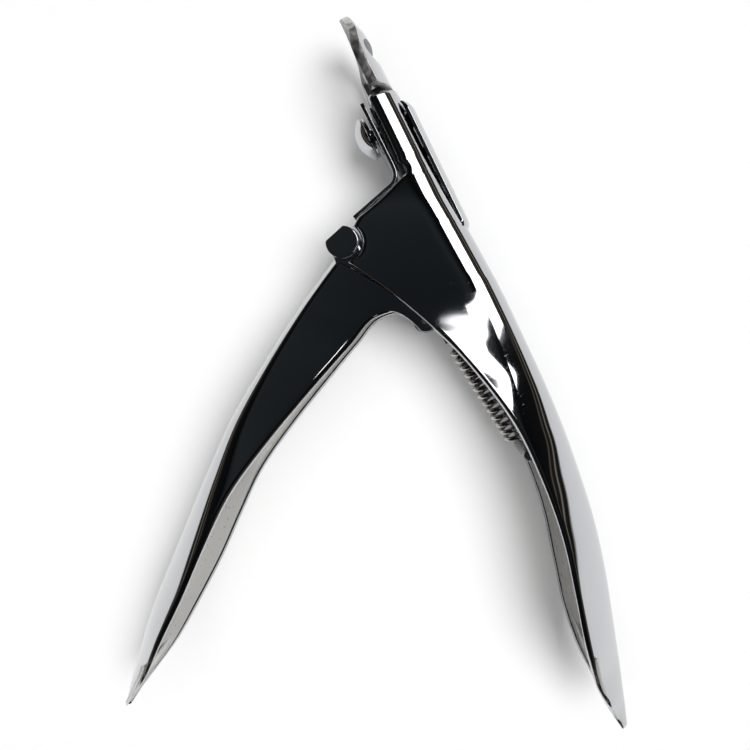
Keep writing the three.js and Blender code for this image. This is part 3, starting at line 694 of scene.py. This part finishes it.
def build_blade():
    """The arched blade that runs under the guide, on its flat tongue."""
    top = BLADE_HIGH.y
    wide = BLADE_HIGH.z
    root = NOSE_TOP + BLADE_ROOT
    radius = ARCH_R - GUIDE_T - BLADE_ROOM
    points = []
    rows, columns = 16, 40
    for i in range(rows + 1):
        for k in range(columns + 1):
            z = wide * (2 * k / columns - 1)
            edge = top - BLADE_CROWN * abs(z / wide) ** 2.5
            points.append(arch_point(root + (edge - root) * i / rows, z, radius, top - 1, 0.0))
    piece = mesh_piece("blade_arch", points, grid_faces(rows + 1, columns + 1), "slide",
                       ["cutter_blade"], (BLADE, EDGE))
    face_towards(piece, (1, 0, 0))
    modify(piece, "SOLIDIFY", thickness=BLADE_T * MM, offset=-1.0, material_offset_rim=1)
    soften(piece, 0.1, 2, 40)
    x, bottom = BLADE_LOW.x, BLADE_LOW.y
    outline = [(x, bottom), (x + BLADE_T, bottom), (x + BLADE_T, root + 1.2), (x, root + 1.2)]
    prism("blade_tongue", outline, -TONGUE_HALF, TONGUE_HALF, "slide", [], BLADE,
          0.15)


# ---- pieces fixed to the nose -------------------------------------------------------------------

COVER_T = 0.7
SHANK_R = 1.5
WASHER_BORE_R = 1.8
HEAD_STEPS = 24                          # points from the top of the dome to its rim
BACK_T = 0.75
BACK_BOW = 1.3                           # its long edges lie lower than its middle by this


def build_cover():
    """The bent sheet over the front of the nose and along the shelf."""
    x = COVER_HIGH.x
    path = [(x, COVER_HIGH.y)] + [(x, COVER_HIGH.y - 1.15 * k) for k in range(1, 11)]
    corner = (12.0, 4.95)
    end = (COVER_LOW.x + 0.1, 2.75)
    path += bezier(path[-1], (x, 6.4), (x - 0.6, 5.55), corner, 12)
    path += [tuple(a + (b - a) * k / 8 for a, b in zip(corner, end)) for k in range(1, 9)]
    columns = 12
    points = [at(px, py, COVER_HIGH.z * (2 * k / columns - 1)) for px, py in path
              for k in range(columns + 1)]
    piece = mesh_piece("cover_sheet", points, grid_faces(len(path), columns + 1), "frame",
                       ["front_cover"])
    face_towards(piece, (1, -1, 0))
    modify(piece, "SOLIDIFY", thickness=COVER_T * MM, offset=-1.0)
    soften(piece, 0.14, 3, 40)


def build_dome():
    """The dome-headed screw and the washer under it."""
    radius = DOME_HIGH.z
    base = WASHER_LOW.x - 0.3
    height = base - DOME_LOW.x
    ball = (radius ** 2 + height ** 2) / (2 * height)
    widest = math.asin(radius / ball)
    profile = []
    for k in range(HEAD_STEPS + 1):
        a = widest * k / HEAD_STEPS
        profile.append((ball * math.sin(a), ball * (1 - math.cos(a)) - height))
    shank = DOME_HIGH.x - base
    profile += [(radius, 0.15), (SHANK_R, 0.15), (SHANK_R, shank - 0.4), (SHANK_R - 0.4, shank),
                (0, shank)]
    turned("dome_head", profile, lambda a, b, h: at(base + h, SCREW_Y + a, b), "frame",
           ["dome_screw"], CHROME, 0.12)
    thick = WASHER_HIGH.x - WASHER_LOW.x
    outer = WASHER_HIGH.z
    ring = [(WASHER_BORE_R, 0.0), (outer - 0.15, 0.0), (outer, 0.12), (outer, thick - 0.12),
            (outer - 0.15, thick), (WASHER_BORE_R, thick), (WASHER_BORE_R, 0.0)]
    turned("dome_ring", ring, lambda a, b, h: at(WASHER_LOW.x + h, SCREW_Y + a, b), "frame",
           ["dome_washer"], CHROME)


def build_back_plate():
    """The bowed strip along the back of the nose, thinner at its lower end."""
    top, bottom = BACK_HIGH.y, BACK_LOW.y
    wide = BACK_HIGH.z
    rows, columns = 50, 24
    points = []
    for i in range(rows + 1):
        t = i / rows
        y = top + (bottom - top) * t
        ends = max(0.0, 1 - t * 16) ** 1.5 + max(0.0, (t - 0.95) / 0.05) ** 2
        crown = BACK_HIGH.x - 0.02 - 0.32 * t - 0.5 * ends
        half = wide * (1 - 0.12 * ends)
        thick = BACK_T - 0.15 * t - 0.3 * ends
        across = [2 * k / columns - 1 for k in range(columns + 1)]
        points += [at(crown - BACK_BOW * v * v, y, half * v) for v in across]
        points += [at(crown - thick - BACK_BOW * v * v, y, half * v) for v in reversed(across)]
    ring = 2 * (columns + 1)
    faces = grid_faces(rows + 1, ring, True)
    faces += [list(range(ring)), list(range(len(points) - ring, len(points)))]
    piece = mesh_piece("back_strip", points, faces, "frame", ["back_plate"])
    soften(piece, 0.1, 2, 40)


# ---- return spring ------------------------------------------------------------------------------


def spring_line():
    """Middle line of the wire: hook at the anchor, the coils, hook at the yoke's eye."""
    eye = Vector((EYE_X, EYE_Y, 0))
    anchor = (ANCHOR_LOW + ANCHOR_HIGH) / 2
    anchor.z = 0
    along = (eye - anchor).normalized()
    side = Vector((along.y, -along.x, 0)) * COIL_R
    up = Vector((0, 0, 1))
    length = (eye - anchor).length
    steps = COIL_TURNS * TURN_STEPS
    points = []
    for k in range(HOOK_STEPS + 1):
        t = k / HOOK_STEPS
        round_anchor = math.cos(math.pi * 1.15 * 0.9 * (1 - t)) * 0.9
        points.append(anchor + along * HOOK_R * (1 - round_anchor) - up * 0.52 * (1 - t)
                      + side * 0.9 * t)
    for k in range(steps + 1):
        a = 2 * math.pi * COIL_TURNS * k / steps
        rise = HOOK_LENGTH + (length - 2 * HOOK_LENGTH) * k / steps
        points.append(anchor + along * rise + side * math.cos(a) + up * COIL_R * math.sin(a))
    for k in range(1, HOOK_STEPS + 1):
        t = k / HOOK_STEPS
        points.append(eye - along * HOOK_LENGTH * 0.9 * (1 - t) + side * (1 - t) + up * 0.4 * t)
    return points, along, anchor, eye


def build_spring():
    """The coil spring: a round wire swept along its middle line, from the frame's anchor to the slide's yoke."""
    line, along, anchor, eye = spring_line()
    aside = Vector((0.01, 0.02, 0.03))       # keeps the wire's section from flipping over
    points = []
    for i, here in enumerate(line):
        ahead = (line[min(i + 1, len(line) - 1)] - line[max(i - 1, 0)]).normalized()
        first = ahead.cross(along + aside)
        first.normalize()
        second = ahead.cross(first)
        for k in range(WIRE_SIDES):
            a = 2 * math.pi * k / WIRE_SIDES
            p = here + (first * math.cos(a) + second * math.sin(a)) * WIRE_R
            points.append(at(p.x, p.y, p.z))
    faces = grid_faces(len(line), WIRE_SIDES, True)
    faces += [list(range(WIRE_SIDES)), list(range(len(points) - WIRE_SIDES, len(points)))]
    piece = mesh_piece("spring_coil", points, faces, None, ["return_spring"],
                       (WIRE,))
    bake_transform(piece)


# ---- camera, table and light --------------------------------------------------------------------

CAMERA_TURN = -26.57                     # degrees about Z
TABLE_HALF = 6.0                         # metres


def build_camera():
    """Close above the tool, looking straight down, turned so that the nose points up and left."""
    data = bpy.data.cameras.new("camera")
    camera = bpy.data.objects.new("camera", data)
    scene.collection.objects.link(camera)
    camera.location = at(6.52, -20.7, 87.55)
    camera.rotation_euler = (0.0, 0.0, math.radians(CAMERA_TURN))
    data.sensor_width = 36.0
    data.lens = 23.1
    data.shift_x = -0.0747
    data.shift_y = -0.0547
    data.clip_start = 0.001
    data.clip_end = 20.0
    scene.camera = camera


def build_table():
    """A plain white card that the tool lies on."""
    made = bpy.data.materials.new("matt_white_card")
    made.use_nodes = True
    tree = made.node_tree
    shader = tree.nodes["Principled BSDF"]
    place = node(tree, "ShaderNodeTexCoord").outputs["Object"]
    # real fibres are far finer than this, and wouldn't show
    fibres = node(tree, "ShaderNodeTexNoise", Vector=place, Scale=per_mm(3), Detail=5.0)
    bumps = node(tree, "ShaderNodeBump", Height=fibres, Strength=0.1, Distance=0.02 * MM)
    tree.links.new(bumps.outputs[0], shader.inputs["Normal"])
    shader.inputs["Base Color"].default_value = colour("#F4F4F4")
    shader.inputs["Roughness"].default_value = 0.95
    corners = [(-TABLE_HALF, -TABLE_HALF), (TABLE_HALF, -TABLE_HALF), (TABLE_HALF, TABLE_HALF),
               (-TABLE_HALF, TABLE_HALF)]
    data = bpy.data.meshes.new("table")
    data.from_pydata([(x, y, 0.0) for x, y in corners], [], [(0, 1, 2, 3)])
    data.materials.append(made)
    table = bpy.data.objects.new("table", data)
    scene.collection.objects.link(table)


def lamp(name, kind, place, turn, energy, **settings):
    """A lamp at a place in metres from the tool's middle, turned by three angles in degrees."""
    data = bpy.data.lights.new(name, kind)
    data.energy = energy
    for key, value in settings.items():
        setattr(data, key, value)
    made = bpy.data.objects.new(name, data)
    scene.collection.objects.link(made)
    made.location = at(6.5, -20.7) + Vector(place)
    made.rotation_euler = [math.radians(a) for a in turn]
    return made


def build_light():
    """A dark room with thin pale stripes round its walls, three panels, a fill and a key light.

    The panels show only as reflections, and the fill and the key light only on what is matt.
    """
    world = bpy.data.worlds.new("studio")
    scene.world = world
    world.use_nodes = True
    tree = world.node_tree
    place = node(tree, "ShaderNodeTexCoord").outputs["Generated"]
    height = node(tree, "ShaderNodeSeparateXYZ", Vector=place).outputs["Z"]
    walls = node(tree, "ShaderNodeValToRGB", Fac=height)
    stops = [                                # from straight down, 0, to straight up, 1
        (0.0, "#B4B4B2"), (0.02, "#8A8884"), (0.04, "#1A1918"), (0.13, "#24221F"),
        (0.17, "#948B80"), (0.20, "#2C2825"), (0.27, "#171615"), (0.32, "#5A544C"),
        (0.36, "#161616"), (0.86, "#0C0E0F"), (0.95, "#2A2F31"), (1.0, "#1C2022"),
    ]
    elements = walls.color_ramp.elements
    while len(elements) < len(stops):
        elements.new(0.5)
    for element, (position, shade) in zip(elements, stops):
        element.position = position
        element.color = colour(shade)
    tree.links.new(walls.outputs["Color"], tree.nodes["Background"].inputs["Color"])
    panels = [                               # place, turn, watts, width and length in metres
        ("side_window", (0.788, 0.265, 0.616), (0, 52, 0), 4.1, 0.50, 0.69),
        ("ceiling_strip", (0.45, -0.006, 0.95), (0, 0, 0), 0.42, 0.70, 0.06),
        ("ceiling_panel", (0.084, -0.023, 0.95), (0, 0, CAMERA_TURN), 0.09, 0.13, 0.066),
    ]
    for name, place, turn, energy, width, length in panels:
        panel = lamp(name, "AREA", place, turn, energy, shape="RECTANGLE", size=width,
                     size_y=length)
        panel.visible_diffuse = False
    fill = lamp("wide_fill", "AREA", (0, 0, 1.0), (0, 0, 0), 12.9, shape="RECTANGLE", size=2.4,
                size_y=2.4)
    key_place = Vector((0.5, -0.17, 1.0))
    key = lamp("soft_key", "SUN", key_place, (0, 0, 0), 2.3, angle=math.radians(40))
    key.rotation_euler = (-key_place).to_track_quat("-Z", "Y").to_euler()
    fill.visible_glossy = False
    key.visible_glossy = False


def finish_frame_nodes():
    """CAD nodes that still show get the material of their slot."""
    kinds = {"bright_chrome": CHROME, "blade_steel": BLADE, "inner_steel": PLATED_STEEL_AND_SHADE,
             "spring_wire": WIRE}
    for part in record["subparts"]:
        data = frame["nodes"][part["node"]].data
        data.materials.clear()
        data.materials.append(kinds[part["material_slot"]])


build_camera()
build_table()
build_light()
build_frame()
build_lever()
build_pins()
build_guide()
build_blade()
build_cover()
build_dome()
build_back_plate()
build_spring()
finish_frame_nodes()
scene.view_settings.view_transform = "Standard"
